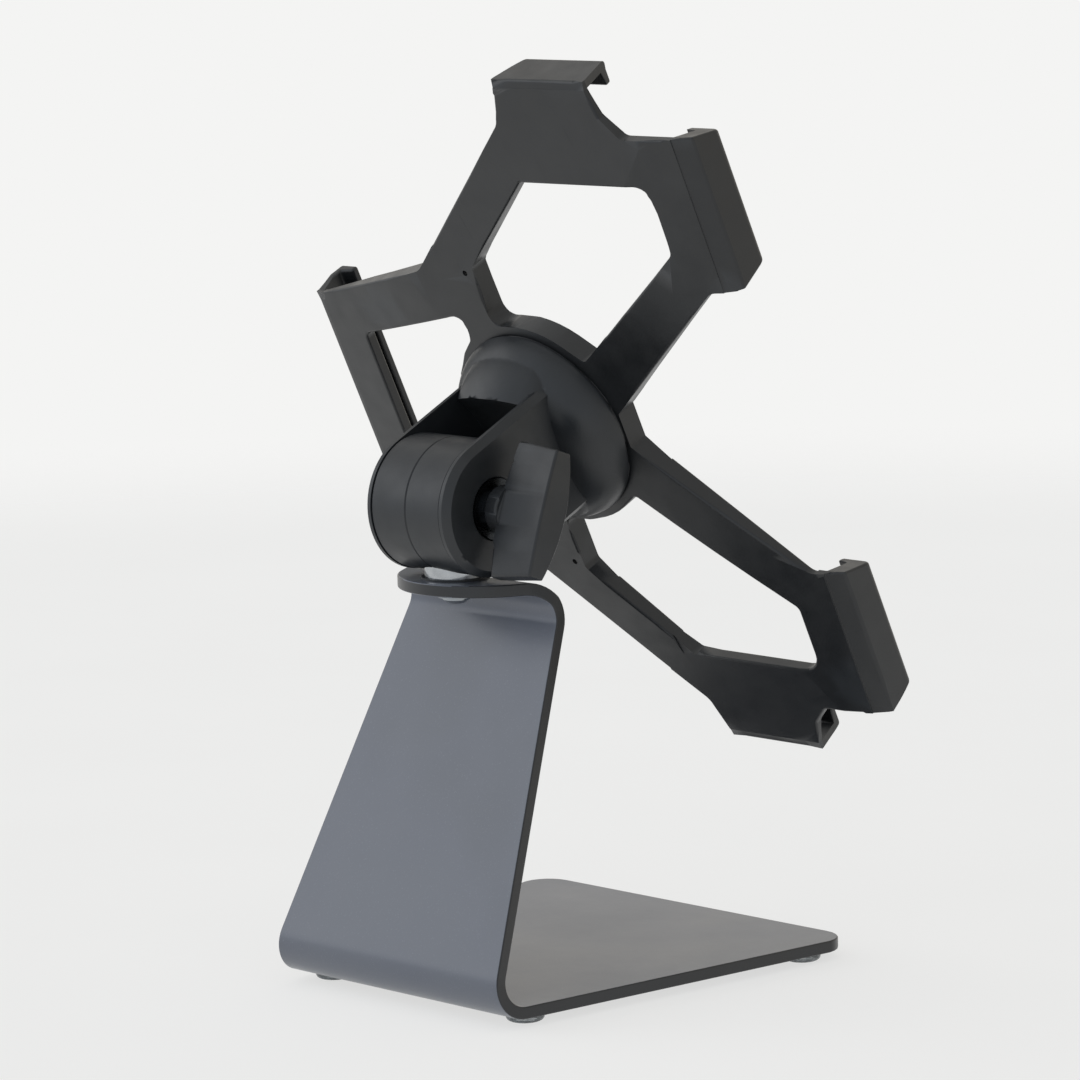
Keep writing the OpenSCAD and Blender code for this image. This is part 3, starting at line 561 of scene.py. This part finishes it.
# A mesh's facets, joined to clean faces that a rounding can run along
def cleanShape(mesh, look):
    shape = bmesh.new()
    shape.from_mesh(mesh)
    bmesh.ops.remove_doubles(shape, verts=shape.verts, dist=rounding["weld"])
    if "crownAxis" in look:
        evenCells(shape, look)
    bmesh.ops.dissolve_limit(shape, angle_limit=math.radians(rounding["flatAngle"]), verts=shape.verts,
                             edges=shape.edges, delimit={"SEAM"})
    return shape


def shadeEvenly(piece, done, crease):
    splitBentFaces(done)
    for face in done.polygons:
        face.use_smooth = True
    done.set_sharp_from_angle(angle=math.radians(crease))
    even = piece.modifiers.new("evenNormals", "WEIGHTED_NORMAL")
    even.keep_sharp = True
    return evaluatedMesh(piece)


def finishFaces(done, look):
    done.materials.clear()
    done.materials.append(look["finish"])
    if "edgeFinish" in look:
        done.materials.append(look["edgeFinish"])
        for face in done.polygons:
            face.material_index = int(isCutEdge(face, look))


def roundedCopy(nodeName, look):
    mesh = nodes[nodeName].data.copy()
    shape = cleanShape(mesh, look)
    shape.edges.layers.float.new("bevel_weight_edge")
    limit = math.radians(rounding["sharpAngle"])
    sharp = dict.fromkeys(e for e in shape.edges if len(e.link_faces) == 2 and e.calc_face_angle(0) > limit)
    piece = bpy.data.objects.new(nodeName + "_rounded", mesh)
    bpy.context.scene.collection.objects.link(piece)
    done = bevelShape(piece, shape, sharp, look)
    shape.free()
    done = shadeEvenly(piece, done, look.get("crease", rounding["crease"]))
    finishFaces(done, look)
    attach(piece, nodes[nodeName]["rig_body"])
    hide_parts(nodeName)
    print("rounded", nodeName, len(done.polygons), "faces")


for nodeName, look in roundedPieces.items():
    roundedCopy(nodeName, look)

# Studio

studio = {
    "floor": "#fafaf9",
    "floorLow": "#f6f6f5",
    "floorPulp": 120 * mm,
    "floorGlow": 0.68,       # share of the backdrop's own tone in the paper, which keeps the shadow light
    "floorGlowTone": "#fafaf9",
    "floorRadius": 1.35,     # metres, and it thins out over the last floorFade of that
    "floorFade": 0.45,
    "floorCorners": 64,
    "backdrop": "#f4f4f3",
    "coolSide": "#eaf0f8",
    "warmSide": "#f8f3ea",
    "tintReach": 0.8,        # Y of a ray's direction at which the tint is full
    "brightSide": (0.72, 0.6, -0.3),
    "brightReach": 0.75,     # cosine to that side at which the level is full
    "worldLow": 0.5,
    "worldHigh": 0.95,
    "mirrorLow": 0.72,
    "mirrorHigh": 0.95,
    "keyLevel": 0.34,
    "keyDirection": (0.9, 0.6, 0.4),
    "keySoftness": 40,       # degrees that the lamp fills of the view towards it
}


# 1 for rays that look at the background, by eye, through glass or, where asked, in a mirror
def seenRays(tree, mirrors):
    path = addNode(tree, "LightPath")
    seen = addNode(tree, "Math", {"operation": "MAXIMUM"},
                   {0: path.outputs["Is Camera Ray"], 1: path.outputs["Is Transmission Ray"]})
    if mirrors:
        seen = addNode(tree, "Math", {"operation": "MAXIMUM"},
                       {0: path.outputs["Is Glossy Ray"], 1: seen.outputs["Value"]})
    return seen.outputs["Value"]


# Paper floor that thins out into the backdrop, so that no horizon shows
def makeFloor(look):
    shape = bmesh.new()
    bmesh.ops.create_circle(shape, cap_ends=True, segments=look["floorCorners"], radius=look["floorRadius"])
    mesh = bpy.data.meshes.new("floor")
    shape.to_mesh(mesh)
    shape.free()
    floor = bpy.data.objects.new("floor", mesh)
    bpy.context.scene.collection.objects.link(floor)
    material, tree, place = newMaterial("paperSweep")
    pulp = addNode(tree, "TexNoise", {"Scale": 1 / look["floorPulp"], "Detail": 3}, {"Vector": place})
    tone = addNode(tree, "ValToRGB", {"stops": [(0.3, look["floorLow"]), (0.7, look["floor"])]},
                   {"Fac": pulp.outputs["Fac"]})
    paper = addNode(tree, "BsdfDiffuse", links={"Color": tone.outputs["Color"]})
    glow = addNode(tree, "Emission", {"Color": hexToLinear(look["floorGlowTone"]), "Strength": 1.0})
    share = addNode(tree, "Math", {"operation": "MULTIPLY", 1: look["floorGlow"]}, {0: seenRays(tree, True)})
    sheet = addNode(tree, "MixShader", links={0: share.outputs["Value"], 1: paper.outputs["BSDF"],
                                              2: glow.outputs["Emission"]})
    reach = addNode(tree, "VectorMath", {"operation": "LENGTH"}, {0: place})
    fade = addNode(tree, "MapRange",
                   {"From Min": look["floorRadius"] - look["floorFade"], "From Max": look["floorRadius"],
                    "interpolation_type": "SMOOTHSTEP"},
                   {"Value": reach.outputs["Value"]})
    clear = addNode(tree, "BsdfTransparent")
    mix = addNode(tree, "MixShader", links={0: fade.outputs["Result"], 1: sheet.outputs["Shader"],
                                            2: clear.outputs["BSDF"]})
    addNode(tree, "OutputMaterial", links={"Surface": mix.outputs["Shader"]})
    mesh.materials.append(material)


# Pale room: even behind the object, brighter and cooler on the window's side for light and reflections
def makeWorld(look):
    world = bpy.data.worlds.new("studio")
    bpy.context.scene.world = world
    world.use_nodes = True
    tree = world.node_tree
    tree.nodes.clear()
    way = addNode(tree, "TexCoord").outputs["Generated"]
    brightSide = Vector(look["brightSide"]).normalized()
    side = addNode(tree, "VectorMath", {"operation": "DOT_PRODUCT", 1: brightSide}, {0: way})
    depth = addNode(tree, "SeparateXYZ", links={0: way})
    turn = addNode(tree, "MapRange", {"From Min": -look["tintReach"], "From Max": look["tintReach"]},
                   {"Value": depth.outputs["Y"]})
    tint = addNode(tree, "ValToRGB", {"stops": [(0.0, look["warmSide"]), (1.0, look["coolSide"])]},
                   {"Fac": turn.outputs["Result"]})
    lights = {}
    for use in ("world", "mirror"):
        level = addNode(tree, "MapRange",
                        {"From Min": -look["brightReach"], "From Max": look["brightReach"],
                         "To Min": look[use + "Low"], "To Max": look[use + "High"],
                         "interpolation_type": "SMOOTHSTEP"},
                        {"Value": side.outputs["Value"]})
        lights[use] = addNode(tree, "Background", links={"Color": tint.outputs["Color"],
                                                         "Strength": level.outputs["Result"]})
    path = addNode(tree, "LightPath")
    soft = addNode(tree, "MixShader", links={0: path.outputs["Is Glossy Ray"],
                                             1: lights["world"].outputs["Background"],
                                             2: lights["mirror"].outputs["Background"]})
    shown = addNode(tree, "Background", {"Color": hexToLinear(look["backdrop"]), "Strength": 1.0})
    mix = addNode(tree, "MixShader", links={0: seenRays(tree, False), 1: soft.outputs["Shader"],
                                            2: shown.outputs["Background"]})
    addNode(tree, "OutputWorld", links={"Surface": mix.outputs["Shader"]})


def makeSun(name, level, direction, softness):
    data = bpy.data.lights.new(name, "SUN")
    data.energy = level
    data.angle = math.radians(softness)
    lamp = bpy.data.objects.new(name, data)
    lamp.rotation_euler = Vector(direction).to_track_quat("Z", "Y").to_euler()
    bpy.context.scene.collection.objects.link(lamp)


makeFloor(studio)
makeWorld(studio)
makeSun("keyLamp", studio["keyLevel"], studio["keyDirection"], studio["keySoftness"])

scene = bpy.context.scene
scene.view_settings.view_transform = "Standard"
print("studio ready")
